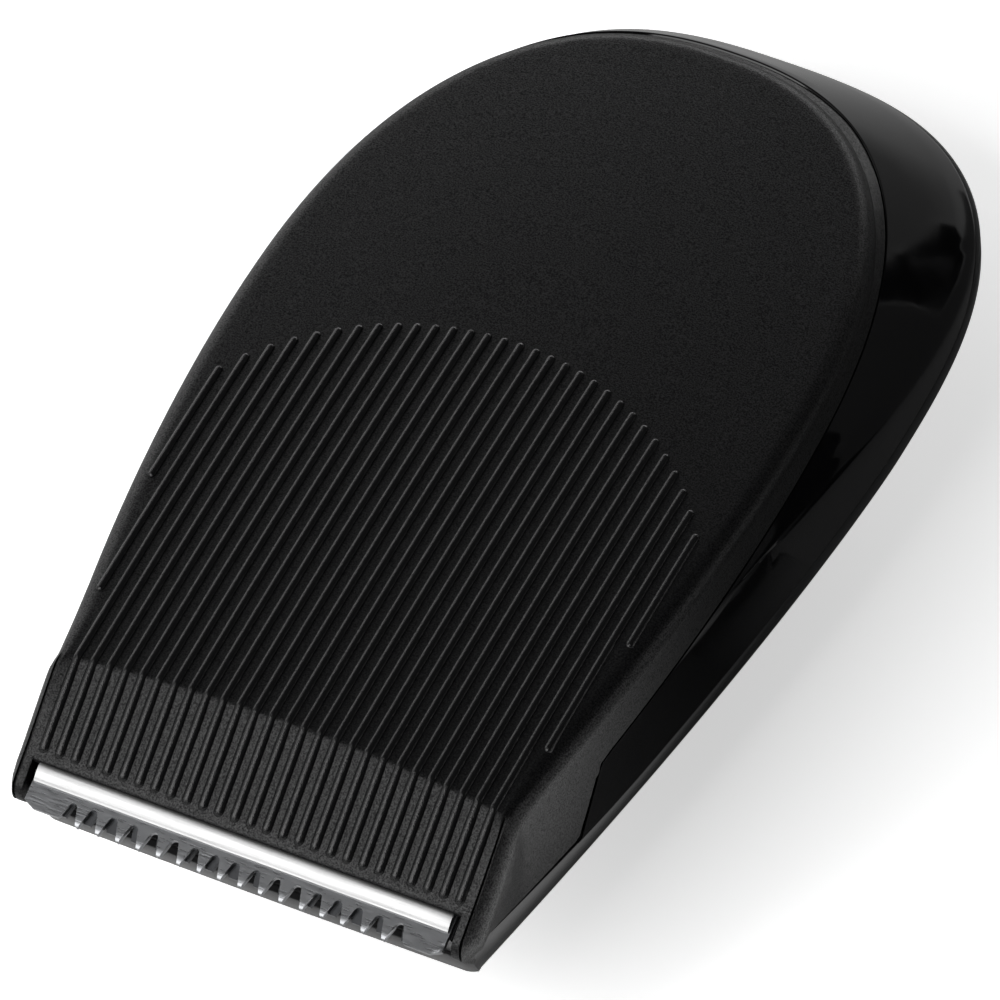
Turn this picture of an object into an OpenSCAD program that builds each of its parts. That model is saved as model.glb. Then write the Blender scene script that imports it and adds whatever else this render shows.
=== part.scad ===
// Trimming head that clicks onto the drive neck of a hand-held shaver.
// The Z axis is the drive axis, Z = 0 is the underside of the base plate,
// and the cutting edge points to -Y. All sizes are in millimetres.

/* [Body] */
// Half of the widest width of the body, at the base plate
base_half_w = 21.8; // [20:0.1:24]
// Length of the round rear end, from the drive axis to the back of the base
rear_len = 27.7; // [26:0.1:31]
// Highest point of the crowned top above the underside of the base plate
top_h = 13.2; // [12.6:0.1:15]
// Radius of the crown of the top
crown_r = 350; // [300:10:500]
// Wall thickness of the cover and of the side shell
wall = 1.3; // [1:0.1:1.6]
// Thickness of the base plate
plate_t = 1.5; // [1.2:0.1:2]
// Size of the softened edge around the top
edge_soft = 1.2; // [0.8:0.1:1.5]

/* [Grip ribs] */
// Number of raised ribs on the top
rib_count = 31; // [21:2:31]
// Distance from one rib to the next
rib_pitch = 1.175; // [1.1:0.005:1.18]
// Height of a rib above the surface
rib_h = 0.22; // [0.1:0.02:0.3]
// Width of a rib
rib_w = 0.42; // [0.3:0.02:0.6]

/* [Blade] */
// Distance from one tooth of the guard to the next
tooth_pitch = 1.5; // [1.3:0.05:1.5]
// Number of gaps between the teeth of the guard
gap_count = 17; // [11:2:17]
// Depth of a gap
gap_depth = 1.6; // [1.2:0.1:1.8]
// Forward tilt of the blade in degrees
blade_tilt = 22; // [18:1:26]
// Half of the width of the guard
guard_half_w = 15.45; // [15:0.05:15.5]
// Thickness of the guard and of the moving cutter
sheet_t = 0.35; // [0.25:0.05:0.4]

/* [Drive] */
// Throw of the eccentric pin
throw = 0.5; // [0.3:0.05:0.6]
// Distance from the drive axis to the lever pivot
pivot_back = 16; // [15:0.5:18]
// Radius of the drive spindle and of the pivot pin
shaft_r = 1.5; // [1.2:0.1:1.6]
// Radial clearance of a running fit
run_fit = 0.03; // [0.02:0.01:0.06]
// Axial float of the drive coupling
float_len = 1; // [0.8:0.1:1]

/* [Neck collar] */
// Radius of the socket that takes the neck of the handle
socket_r = 13; // [12.5:0.1:13.4]
// Depth of the socket
socket_depth = 9; // [8:0.5:10]
// Wall thickness of the collar
collar_wall = 2.4; // [2:0.1:3]

/* [Hidden] */

$fn = 64;
eps = 0.01;
far = 100;

// ---- outlines of the body --------------------------------------------------

// Largest half-width of the top, and where along the body it lies
edge_half_w = base_half_w - 1.62;
edge_mid_y = -12;
// Length of the round end of the top, from edge_mid_y backwards
edge_rear_len = rear_len + 3.5;
// Roundness of the two rear outlines: 2 is an ellipse, more is squarer
edge_round = 2.35;
base_round = 2.8;
// Front limit of the outlines, ahead of the nose
front_y = -56;
// Narrowing towards the nose: k * distance ^ p, first the top, then the base
edge_taper_k = 0.0056;
edge_taper_p = 1.85;
taper_k = 0.0185;
taper_p = 1.48;
// Half-width of the nose at its top and at the base
edge_nose_w = edge_half_w - 3.31;
base_nose_w = base_half_w - 5.87;
// Start of the facet that slopes down to the blade
facet_y = -43.9;

nose_steps = 3;
front_steps = 14;
rear_steps = 20;
half_steps = front_steps + rear_steps;

function mix(a, b, t) = a + (b - a) * t;
function rear_angle(i) = 90 * (i - front_steps) / rear_steps;
function round_x(r, n, a) = r * pow(max(cos(a), 0), 2 / n);
function round_y(r, n, a) = r * pow(max(sin(a), 0), 2 / n);
function edge_side_x(y) =
    max(edge_nose_w, edge_half_w - edge_taper_k * pow(edge_mid_y - y, edge_taper_p));
function base_side_x(y) = max(base_nose_w, base_half_w - taper_k * pow(abs(y), taper_p));
function station(i, mid_y) = i < nose_steps
    ? mix(front_y, facet_y, i / nose_steps)
    : mix(facet_y, mid_y, (i - nose_steps) / (front_steps - nose_steps));

// Point i of the right half of an outline, from the front to the rear tip
function edge_half(i) = i <= front_steps
    ? let (y = station(i, edge_mid_y)) [edge_side_x(y), y]
    : [round_x(edge_half_w, edge_round, rear_angle(i)),
       edge_mid_y + round_y(edge_rear_len, edge_round, rear_angle(i))];
function base_half(i) = i <= front_steps
    ? let (y = station(i, 0)) [base_side_x(y), y]
    : [round_x(base_half_w, base_round, rear_angle(i)),
       round_y(rear_len, base_round, rear_angle(i))];

// Moves point i of a half outline inwards by d, square to the outline
function inward(prev, p, next, d) = let (t = next - prev) p + d * [-t[1], t[0]] / norm(t);
function edge_in(i, d) = inward(edge_half(max(i - 1, 0)), edge_half(i),
    i < half_steps ? edge_half(i + 1) : [-edge_half(i - 1)[0], edge_half(i - 1)[1]], d);
function base_in(i, d) = inward(base_half(max(i - 1, 0)), base_half(i),
    i < half_steps ? base_half(i + 1) : [-base_half(i - 1)[0], base_half(i - 1)[1]], d);

// ---- heights ---------------------------------------------------------------

crown_y = -10;
function top_z(p) =
    top_h - crown_r + sqrt(crown_r * crown_r - p[0] * p[0] - pow(p[1] - crown_y, 2));
// Seam between the cover and the side shell, rising to the rear
function seam_z(y) = y < -34 ? 7.2 : y < 10 ? mix(7.2, 10.2, sin(90 * (y + 34) / 44)) : 10.2;
// Height of the facet and of the whole top
facet_slope = 0.655;
function facet_z(y) = top_z([0, facet_y]) + facet_slope * (y - facet_y);
function lid_z(p) = p[1] < facet_y ? facet_z(p[1]) - (top_z([0, p[1]]) - top_z(p)) : top_z(p);
// Shoulder line of the side shell, falling to the rear, and how far in it stands
function shoulder_z(y) = min(seam_z(y) - 0.8, mix(7.35, 2, min(1, (y + 12) / 30)));
function shoulder_in(y) = mix(0.06, 0.9, min(1, max(0, (-30 - y) / 8)));
// Upper edge of the rim of the base, rising towards the blade
lip_from_y = -32;
lip_rise_p = 1.3;
function lip_z(y) = plate_t + (lip_front_h - lip_gap - plate_t)
    * pow(max(0, (lip_from_y - y) / (lip_from_y - lip_front_y)), lip_rise_p);
lip_gap = 0.1;
// The skirt leaves the edge of the top by this much at the seam
seam_out = 1.2;

// ---- body envelope ---------------------------------------------------------

function toward(a, b, d) = let (v = b - a) a + v / norm(v) * min(d, norm(v) / 2);
// Rings of the side wall for one half point: underside, shoulder, seam, edge, top
soft_angles = [0, 40, 75];
lid_above = 1;
function at_height(p, z) = [p[0], p[1], z];
function wall_column(i, d) = let (e = edge_in(i, d), b = base_in(i, d), s = toward(e, b, seam_out),
        z = lid_z(e) - d, zs = min(seam_z(s[1]), z - edge_soft - 0.5)) concat(
    [at_height(b, 0), at_height(mix(b, s, shoulder_in(b[1])), min(shoulder_z(b[1]), zs - 0.6)),
     at_height(s, zs)],
    // Softened edge as an arc
    [for (a = soft_angles) at_height(edge_in(i, d + edge_soft * (1 - cos(a))),
        z - edge_soft * (1 - sin(a)))],
    [at_height(edge_in(i, d + edge_soft + lid_above), z + lid_above)]
);
ring_count = 4 + len(soft_angles);
loop_len = 2 * half_steps + 1;

function flip(p) = [-p[0], p[1], p[2]];
function wall_point(i, k, d) = i <= half_steps
    ? let (p = wall_column(i, d)[k]) [i == half_steps ? 0 : p[0], p[1], p[2]]
    : flip(wall_column(2 * half_steps - i, d)[k]);

module wall_loft(d) {
    points = [for (k = [0 : ring_count - 1]) for (i = [0 : loop_len - 1]) wall_point(i, k, d)];
    sides = [for (k = [0 : ring_count - 2]) for (i = [0 : loop_len - 1])
        let (j = (i + 1) % loop_len, a = k * loop_len, b = a + loop_len)
        each [[a + i, b + i, b + j], [a + i, b + j, a + j]]];
    bottom = [for (i = [0 : half_steps - 1])
        each let (m = loop_len - 1 - i) i == half_steps - 1
            ? [[i, i + 1, m]]
            : [[i, i + 1, m - 1], [i, m - 1, m]]];
    lid = (ring_count - 1) * loop_len;
    top = [for (f = bottom) [lid + f[2], lid + f[1], lid + f[0]]];
    polyhedron(points, concat(sides, bottom, top), convexity = 6);
}

// Extrudes a profile drawn in the Y-Z plane across the width from x0 to x1
module across(x0, x1) {
    translate([x0, 0, 0]) rotate([90, 0, 90]) linear_extrude(x1 - x0, convexity = 6) children();
}

// Side view of the nose: the facet, the blunt tip and the undercut
nose_y = -52.3;
lip_front_y = -49.7;
lip_front_h = 2.75;
lip_lean = 1.03;

module side_profile(d) {
    drop = d * sqrt(1 + facet_slope * facet_slope);
    polygon([
        [lip_front_y + d, -eps], [lip_front_y - lip_lean + d, lip_front_h], [nose_y + d, 5.2],
        [nose_y + d, facet_z(nose_y + d) - drop],
        [facet_y + 18, facet_z(facet_y + 18) - drop], [far, facet_z(facet_y + 18)], [far, -eps]
    ]);
}

module envelope(d = 0) {
    intersection() {
        wall_loft(d);
        translate([0, crown_y, top_h - crown_r]) sphere(crown_r - d, $fn = 200);
        across(-far, far) side_profile(d);
    }
}

// Everything above the seam; the cover reaches down to the rim at its nose
cover_foot_y = -38.4;
module above_seam(gap) {
    across(-far, far) polygon(concat(
        [[-far, plate_t + gap], [cover_foot_y, plate_t + gap], [-36.2, 5.6 + gap], [-35.4, 6.9 + gap]],
        [for (y = [-34 : 4 : 10]) [y, seam_z(y) + gap]],
        [[far, seam_z(far) + gap], [far, far], [-far, far]]
    ));
}

// Side view of the rim of the base, with the given height added
module rim_side(add) {
    y0 = lip_front_y - 4;
    polygon(concat(
        [[lip_from_y, plate_t - 1], [y0, plate_t - 1]],
        [for (y = [y0 : 1.9 : lip_from_y]) [y, lip_z(max(y, lip_front_y)) + add]],
        [[lip_from_y, plate_t + add]]
    ));
}

module slab(z0, z1) {
    translate([-far / 2, -far, z0]) cube([far, 2 * far, z1 - z0]);
}

// ---- blade frame of reference ----------------------------------------------

// Line of the tooth tips; u runs back along the blade, w stands up from it
tip_y = -53.1;
tip_z = 5.6;
module on_blade() {
    translate([0, tip_y, tip_z]) rotate([blade_tilt, 0, 0]) children();
}
post_half_w = 15.75;
blade_gap = 0.04;

// ---- covers ----------------------------------------------------------------

cover_screw_at = [[12.8, -37], [15.9, -8]];
boss_r = 2;
module at_cover_screws() {
    for (p = cover_screw_at) for (s = [-1, 1]) translate([s * p[0], p[1], 0]) children();
}

// The ribs end on an arc towards the rear and stop short of the side edges
rib_arc_r = 21.2;
rib_arc_y = -31.6;
rib_half = (rib_count - 1) / 2;
facet_rib_half = rib_half - 2;
facet_rib_end = -50;
rib_root = 0.6;
function rib_rear(x) = rib_arc_y + sqrt(rib_arc_r * rib_arc_r - x * x);
function rib_front(i) = i > facet_rib_half + 1 ? -29.8 : i > facet_rib_half ? -39.3 : facet_y + 0.3;
module facet_rib_side() {
    polygon([
        [facet_rib_end, facet_z(facet_rib_end) - rib_root],
        [facet_rib_end, facet_z(facet_rib_end) + rib_h],
        [facet_y + 0.5, facet_z(facet_y + 0.5) + rib_h],
        [facet_y + 0.5, facet_z(facet_y + 0.5) - 2 * rib_root]
    ]);
}
module ribs() {
    intersection() {
        translate([0, crown_y, top_h - crown_r]) sphere(crown_r + rib_h, $fn = 200);
        union() {
            for (i = [-rib_half : rib_half]) {
                x = i * rib_pitch;
                translate([x - rib_w / 2, rib_front(abs(i)), top_z([x, rib_front(abs(i))]) - rib_root])
                    cube([rib_w, rib_rear(x) - rib_front(abs(i)), 4]);
                if (abs(i) <= facet_rib_half) across(x - rib_w / 2, x + rib_w / 2) facet_rib_side();
            }
        }
    }
}

module top_cover() {
    color([0.10, 0.10, 0.11]) {
        difference() {
            union() {
                intersection() {
                    envelope();
                    above_seam(0.04);
                }
                ribs();
            }
            envelope(wall);
            across(-far, far) rim_side(0.04);
            // Mouth for the blade between the two corner posts
            translate([-post_half_w, -far, -far / 2]) cube([2 * post_half_w, far - 50.35, far]);
            // Seat of the guard under the facet
            on_blade() translate([-post_half_w, -2, -8]) cube([2 * post_half_w, 9, 8 + blade_gap]);
            // Room for the blade frame behind the posts
            translate([-post_half_w, -52, -1]) cube([2 * post_half_w, 5, 6]);
            // Pockets over the heads of the blade screws
            on_blade() at_blade_screws() cylinder(h = blade_head_h + 0.07, r = blade_head_r + 0.1);
        }
        // Screw bosses, which end inside the thickness of the top
        for (p = cover_screw_at) for (s = [-1, 1]) translate([s * p[0], p[1], 0]) difference() {
            translate([0, 0, plate_t + 0.04]) cylinder(h = top_z(p) - 0.9 - plate_t, r = boss_r);
            translate([0, 0, plate_t]) cylinder(h = 6.5, r = 0.8);
        }
    }
}

module side_shell() {
    color([0.03, 0.03, 0.035]) difference() {
        intersection() {
            envelope();
            slab(plate_t + 0.04, far);
        }
        envelope(wall);
        above_seam(0);
        across(-far, far) rim_side(0.04);
        translate([-far, -far, 0]) cube([2 * far, far + cover_foot_y, far]);
    }
}

// ---- base and collar -------------------------------------------------------

collar_r = socket_r + collar_wall;
collar_screw_ring = socket_r + collar_wall / 2;
collar_screw_angles = [90, 210, 330];
collar_screw_len = 3.6;
housing_r = 4.2;
lip_back_y = -47.9;
pivot_boss_r = 3;
pivot_boss_h = 4.7;
module at_collar_screws() {
    for (a = collar_screw_angles) rotate(a) translate([collar_screw_ring, 0, 0]) children();
}

// Material taken off the front corner of the rim to round it
lip_corner_r = 1.3;
module lip_corner() {
    translate([base_nose_w - lip_corner_r, lip_front_y + lip_corner_r, 0])
        rotate([atan(lip_lean / lip_front_h), 0, 0]) translate([0, 0, -2]) difference() {
            translate([0, -2 * lip_corner_r, 0]) cube([2 * lip_corner_r, 2 * lip_corner_r, 6]);
            cylinder(h = 13, r = lip_corner_r, center = true);
        }
}

module base_plate() {
    color([0.17, 0.17, 0.18]) difference() {
        union() {
            intersection() {
                envelope();
                slab(-eps, plate_t);
            }
            // Rim that rises towards the blade
            difference() {
                intersection() {
                    envelope();
                    across(-far, far) rim_side(0);
                }
                translate([0, 0, plate_t - 1]) linear_extrude(9) polygon([
                    [-15.1, lip_back_y], [15.1, lip_back_y], [16.6, lip_from_y + 4], [-16.6, lip_from_y + 4]
                ]);
            }
            // Pads that carry the blade frame
            intersection() {
                slab(plate_t - 0.1, far);
                on_blade() for (x = [-15.2, 13.9]) translate([x, 3.6, frame_w - 4.02]) cube([1.3, 1.4, 4]);
            }
            translate([0, -pivot_back, plate_t]) cylinder(h = pivot_boss_h - plate_t, r = pivot_boss_r);
        }
        for (s = [0, 1]) mirror([s, 0, 0]) lip_corner();
        translate([0, 0, -1]) cylinder(h = 4, r = housing_r + 0.1);
        translate([0, -pivot_back, plate_t]) cylinder(h = 9, r = shaft_r);
        at_collar_screws() translate([0, 0, -1]) cylinder(h = 5, r = 0.95);
        at_cover_screws() {
            translate([0, 0, -1]) cylinder(h = 4, r = 1.1);
            translate([0, 0, -eps]) cylinder(h = 0.8, r = 2);
        }
    }
}

key_w = 3;
groove_z = -5.5;
module neck_collar() {
    color([0.13, 0.13, 0.14]) difference() {
        translate([0, 0, -socket_depth]) cylinder(h = socket_depth, r = collar_r);
        translate([0, 0, -socket_depth - 1]) cylinder(h = socket_depth + 2, r = socket_r);
        // Groove of the click ring
        translate([0, 0, groove_z - 0.5]) cylinder(h = 1, r = socket_r + 1);
        // Two keyways that stop the head turning on the neck
        for (s = [0, 180]) rotate(s) translate([0, -key_w / 2, -socket_depth - 1])
            cube([socket_r + 1.1, key_w, 6]);
        at_collar_screws() translate([0, 0, -collar_screw_len]) cylinder(h = 9, r = 0.7);
    }
}

module click_ring() {
    open = 40;
    color([0.75, 0.75, 0.76]) translate([0, 0, groove_z]) rotate(90 + open / 2)
        rotate_extrude(angle = 360 - open) translate([socket_r + 0.52, 0]) circle(0.4, $fn = 24);
}

// ---- drive -----------------------------------------------------------------

housing_top = 6.5;
bush_r = 2.6;
bush_len = 2;
module spindle_housing() {
    color([0.85, 0.84, 0.80]) difference() {
        union() {
            translate([0, 0, -0.8]) cylinder(h = housing_top + 0.8, r = housing_r);
            translate([0, 0, plate_t + 0.02]) cylinder(h = 1.2, r = 7.5);
        }
        translate([0, 0, -1]) cylinder(h = housing_top + 2, r = 1.9);
        translate([0, 0, -1]) cylinder(h = 0.2 + bush_len, r = bush_r);
        translate([0, 0, housing_top - bush_len]) cylinder(h = bush_len + 1, r = bush_r);
    }
}

module bush(z) {
    color([0.72, 0.52, 0.30]) translate([0, 0, z]) difference() {
        cylinder(h = bush_len, r = bush_r);
        translate([0, 0, -1]) cylinder(h = bush_len + 2, r = shaft_r + run_fit);
    }
}
module lower_bush() bush(-0.8);
module upper_bush() bush(housing_top - bush_len);

module spindle_seal() {
    color([0.06, 0.06, 0.06]) translate([0, 0, -1.3]) difference() {
        cylinder(h = 0.5, r = 3.6);
        translate([0, 0, -1]) cylinder(h = 3, r = shaft_r + 0.05);
    }
}

spindle_low = -5.9;
ecc_z = housing_top + 0.5;
ecc_t = 1.2;
ecc_web = 0.4;
pin_z = -5.2;
pin_r = 0.4;
module drive_spindle() {
    color([0.78, 0.78, 0.79]) difference() {
        translate([0, 0, spindle_low]) cylinder(h = ecc_z + ecc_t - ecc_web - spindle_low, r = shaft_r);
        translate([-3, 0, pin_z]) rotate([0, 90, 0]) cylinder(h = 6, r = pin_r);
    }
}

module drive_pin() {
    color([0.70, 0.70, 0.72]) translate([-2.6, 0, pin_z]) rotate([0, 90, 0]) cylinder(h = 5.2, r = pin_r);
}

coupling_r = 4;
coupling_low = -8.6;
coupling_top = -2.4;
coupling_socket = 1.6;
spring_seat = 1.8;
module drive_coupling() {
    socket_top = coupling_low + coupling_socket;
    color([0.80, 0.79, 0.75]) {
        // Three-lobed socket for the tip of the handle's shaft
        translate([0, 0, coupling_low]) linear_extrude(coupling_socket) difference() {
            circle(coupling_r);
            circle(1.9);
            for (a = [90, 210, 330]) rotate(a) translate([1.9, 0]) circle(0.7);
        }
        difference() {
            translate([0, 0, socket_top]) cylinder(h = coupling_top - socket_top, r = coupling_r);
            translate([0, 0, socket_top - 1]) cylinder(h = 9, r = shaft_r + 0.05);
            // Slot across the coupling, in which it floats along the cross pin
            translate([-coupling_r - 1, -pin_r - 0.06, pin_z - pin_r - 0.1 - float_len])
                cube([2 * coupling_r + 2, 2 * pin_r + 0.12, float_len + 2 * pin_r + 0.2]);
            // Seat of the spring
            translate([0, 0, coupling_top - spring_seat]) cylinder(h = spring_seat + 1, r = 2.9);
        }
    }
}

// Coil spring of round wire as one swept tube
spring_r = 2.35;
spring_wire = 0.17;
spring_turns = 4;
spring_low = coupling_top - spring_seat + spring_wire + 0.02;
spring_high = -1.3 - spring_wire - 0.02;
spring_sides = 8;
spring_steps = spring_turns * 20;
function coil_point(i, j) = let (a = 360 * spring_turns * i / spring_steps, b = 360 * j / spring_sides,
        r = spring_r + spring_wire * cos(b),
        z = mix(spring_low, spring_high, i / spring_steps) + spring_wire * sin(b))
    [r * cos(a), r * sin(a), z];
module coupling_spring() {
    points = [for (i = [0 : spring_steps]) for (j = [0 : spring_sides - 1]) coil_point(i, j)];
    sides = [for (i = [0 : spring_steps - 1]) for (j = [0 : spring_sides - 1])
        let (a = i * spring_sides, k = (j + 1) % spring_sides, b = a + spring_sides)
        each [[a + j, b + j, b + k], [a + j, b + k, a + k]]];
    start = [for (j = [1 : spring_sides - 2]) [0, j, j + 1]];
    last = spring_steps * spring_sides;
    finish = [for (j = [1 : spring_sides - 2]) [last, last + j + 1, last + j]];
    color([0.72, 0.72, 0.74]) polyhedron(points, concat(sides, start, finish), convexity = 8);
}

ecc_pin_r = 0.9;
module eccentric() {
    color([0.74, 0.74, 0.76]) {
        difference() {
            translate([0, 0, ecc_z]) cylinder(h = ecc_t, r = 3.1);
            translate([0, 0, ecc_z - 1]) cylinder(h = ecc_t + 1 - ecc_web, r = shaft_r);
        }
        translate([0, throw, ecc_z + ecc_t]) cylinder(h = 2.1, r = ecc_pin_r);
    }
}

module thrust_washer() {
    color([0.92, 0.92, 0.90]) translate([0, 0, housing_top + 0.05]) difference() {
        cylinder(h = 0.4, r = 2.6);
        translate([0, 0, -1]) cylinder(h = 3, r = shaft_r + run_fit);
    }
}

// ---- lever -----------------------------------------------------------------

arm_low = 5;
arm_t = 1.6;
fork_low = ecc_z + ecc_t + 0.35;
fork_t = 1.4;
hub_r = 3.1;
lever_bush_r = 2.1;
finger_y = -47.8;
finger_r = 0.95;
finger_t = 1.2;
fork_slot = ecc_pin_r + 2 * throw + 0.15;
module rocker_lever() {
    color([0.88, 0.87, 0.84]) difference() {
        union() {
            translate([0, -pivot_back, arm_low]) cylinder(h = fork_low + fork_t - arm_low, r = hub_r);
            // Rear arm and fork around the eccentric pin
            translate([-fork_slot - 1.3, -pivot_back, fork_low])
                cube([2 * fork_slot + 2.6, pivot_back + 2.6, fork_t]);
            // Front arm, narrowing to the finger that drives the cutter
            translate([0, 0, arm_low]) linear_extrude(arm_t) polygon([
                [-2.6, -pivot_back], [2.6, -pivot_back], [1.6, -45], [-1.6, -45]
            ]);
            translate([-0.6, finger_y, arm_low]) cube([1.2, 4, finger_t]);
            translate([0, finger_y, arm_low - 0.3]) cylinder(h = finger_t + 0.3, r = finger_r);
        }
        translate([0, -pivot_back, 0]) cylinder(h = 20, r = lever_bush_r);
        translate([-fork_slot, -4, fork_low - 1]) cube([2 * fork_slot, 12, fork_t + 2]);
    }
}

module lever_bush() {
    color([0.72, 0.52, 0.30]) translate([0, -pivot_back, arm_low]) difference() {
        cylinder(h = fork_low + fork_t - arm_low, r = lever_bush_r);
        translate([0, 0, -1]) cylinder(h = 20, r = shaft_r + run_fit);
    }
}

pivot_top = fork_low + fork_t + 0.9;
module pivot_pin() {
    color([0.78, 0.78, 0.79]) translate([0, -pivot_back, plate_t]) cylinder(h = pivot_top - plate_t, r = shaft_r);
}

module pivot_clip() {
    color([0.20, 0.20, 0.21]) translate([0, -pivot_back, fork_low + fork_t + 0.15]) difference() {
        cylinder(h = 0.4, r = 2.7);
        translate([0, 0, -1]) cylinder(h = 3, r = shaft_r);
    }
}

// ---- blade -----------------------------------------------------------------

blade_screw_x = 14.5;
blade_screw_u = 5.35;
blade_head_r = 0.85;
blade_head_h = 0.35;
module at_blade_screws() {
    for (s = [-1, 1]) translate([s * blade_screw_x, blade_screw_u, 0]) children();
}

guard_len = 6.2;
// Front edge of the teeth, a little ahead of the tip line
guard_front = -0.15;
gap_mouth = 1.12;
gap_apex_r = 0.2;
module tooth_gap(depth, mouth, apex_r) {
    translate([0, depth - apex_r]) circle(apex_r, $fn = 24);
    polygon([[-mouth / 2, -1], [mouth / 2, -1], [mouth / 2, 0], [apex_r, depth - apex_r],
        [-apex_r, depth - apex_r], [-mouth / 2, 0]]);
}
module guard_outline() {
    difference() {
        polygon([
            [-guard_half_w, guard_len], [-guard_half_w, 1.2], [-guard_half_w + 0.5, 0.35],
            [-guard_half_w + 1, guard_front], [guard_half_w - 1, guard_front],
            [guard_half_w - 0.5, 0.35], [guard_half_w, 1.2], [guard_half_w, guard_len]
        ]);
        for (i = [-(gap_count - 1) / 2 : (gap_count - 1) / 2])
            translate([i * tooth_pitch, guard_front]) tooth_gap(gap_depth, gap_mouth, gap_apex_r);
        at_blade_screws() circle(0.55, $fn = 32);
    }
}
module blade_guard() {
    color([0.62, 0.62, 0.63]) on_blade() translate([0, 0, -sheet_t]) linear_extrude(sheet_t) guard_outline();
}

cutter_pitch = 1.8;
cutter_gaps = 14;
cutter_set_back = 0.3;
cutter_half_w = 12.6;
cutter_w = -sheet_t - blade_gap;
module moving_cutter() {
    color([0.68, 0.68, 0.70]) on_blade() translate([0, 0, cutter_w - sheet_t]) linear_extrude(sheet_t)
        difference() {
            translate([-cutter_half_w, cutter_set_back]) square([2 * cutter_half_w, 4.8]);
            for (i = [-(cutter_gaps - 1) / 2 : (cutter_gaps - 1) / 2])
                translate([i * cutter_pitch, cutter_set_back]) tooth_gap(1.8, 1.2, 0.25);
        }
}

carrier_half_w = 11.5;
carrier_t = 2.1;
carrier_w = cutter_w - sheet_t;
module cutter_carrier() {
    color([0.16, 0.16, 0.17]) difference() {
        on_blade() translate([-carrier_half_w, 2.4, carrier_w - carrier_t])
            cube([2 * carrier_half_w, 3.6, carrier_t]);
        // Notch for the finger of the lever
        translate([-finger_r - 0.05, finger_y - finger_r - 0.25, 0]) cube([2 * finger_r + 0.1, 6, 12]);
    }
}

frame_w = -3.65;
cheek_x = 13.7;
bridge_t = 0.5;
module blade_frame() {
    color([0.12, 0.12, 0.13]) on_blade() difference() {
        union() {
            for (x = [-guard_half_w, cheek_x]) translate([x, 1.4, frame_w])
                cube([guard_half_w - cheek_x, 4.8, -sheet_t - frame_w]);
            translate([-guard_half_w, 1.6, frame_w]) cube([2 * guard_half_w, 2, bridge_t]);
        }
        at_blade_screws() translate([0, 0, frame_w - 1]) cylinder(h = 5, r = 0.45);
    }
}

module blade_screws() {
    color([0.70, 0.70, 0.71]) on_blade() at_blade_screws() {
        translate([0, 0, -2.6]) cylinder(h = 2.6, r = 0.45);
        difference() {
            cylinder(h = blade_head_h, r = blade_head_r);
            translate([-1, -0.12, 0.2]) cube([2, 0.24, 1]);
        }
    }
}

bar_half_w = 15.15;
bar_r = 0.95;
module blade_bar() {
    color([0.90, 0.90, 0.91]) on_blade() intersection() {
        translate([-bar_half_w, 1.72, blade_gap / 2]) cube([2 * bar_half_w, 1.15, 1]);
        translate([-far / 2, 2.42, -0.45]) rotate([0, 90, 0]) cylinder(h = far, r = bar_r, $fn = 96);
    }
}

module pressure_spring() {
    leaf_len = 8;
    leaf_t = 0.15;
    leaf_w = carrier_w - carrier_t - 0.04 - leaf_t;
    foot_w = frame_w + bridge_t;
    color([0.74, 0.74, 0.75]) on_blade() for (x = [-10, 2]) translate([x, 2.6, 0]) {
        translate([0, 0, leaf_w]) cube([leaf_len, 1, leaf_t]);
        for (foot = [0, leaf_len - 1]) translate([foot, 0, foot_w]) cube([1, 1, leaf_w - foot_w + eps]);
    }
}

module hair_seal() {
    color([0.07, 0.07, 0.07]) difference() {
        translate([-13.6, -46.2, plate_t + 0.02]) cube([27.2, 1, 6.8]);
        // Passage of the lever
        translate([-3, -47, arm_low - 0.6]) cube([6, 3, 4]);
    }
}

// ---- fasteners -------------------------------------------------------------

// Cross-recess screw with its head down and its seat at Z = 0
module screw(shank_r, shank_len, head_r, head_h) {
    difference() {
        union() {
            translate([0, 0, -head_h]) cylinder(h = head_h, r = head_r);
            cylinder(h = shank_len, r = shank_r);
        }
        for (a = [0, 90]) rotate(a) translate([-head_r * 0.6, -0.17, -head_h - 1])
            cube([head_r * 1.2, 0.34, 1.35]);
    }
}

module cover_screws() {
    color([0.30, 0.30, 0.31]) at_cover_screws() translate([0, 0, 0.79]) screw(0.8, 5.2, 1.8, 0.7);
}

module collar_screws() {
    color([0.30, 0.30, 0.31]) at_collar_screws() translate([0, 0, plate_t]) mirror([0, 0, 1])
        screw(0.7, plate_t + collar_screw_len - 0.1, 1.5, 0.8);
}

top_cover();
side_shell();
base_plate();
neck_collar();
click_ring();
spindle_housing();
lower_bush();
upper_bush();
spindle_seal();
drive_spindle();
drive_pin();
drive_coupling();
coupling_spring();
eccentric();
thrust_washer();
rocker_lever();
lever_bush();
pivot_pin();
pivot_clip();
cutter_carrier();
moving_cutter();
blade_guard();
blade_bar();
blade_frame();
pressure_spring();
hair_seal();
blade_screws();
cover_screws();
collar_screws();
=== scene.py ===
from math import cos, pi, radians, sin, sqrt

import bmesh
import bpy
from mathutils import Matrix, Vector


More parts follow.
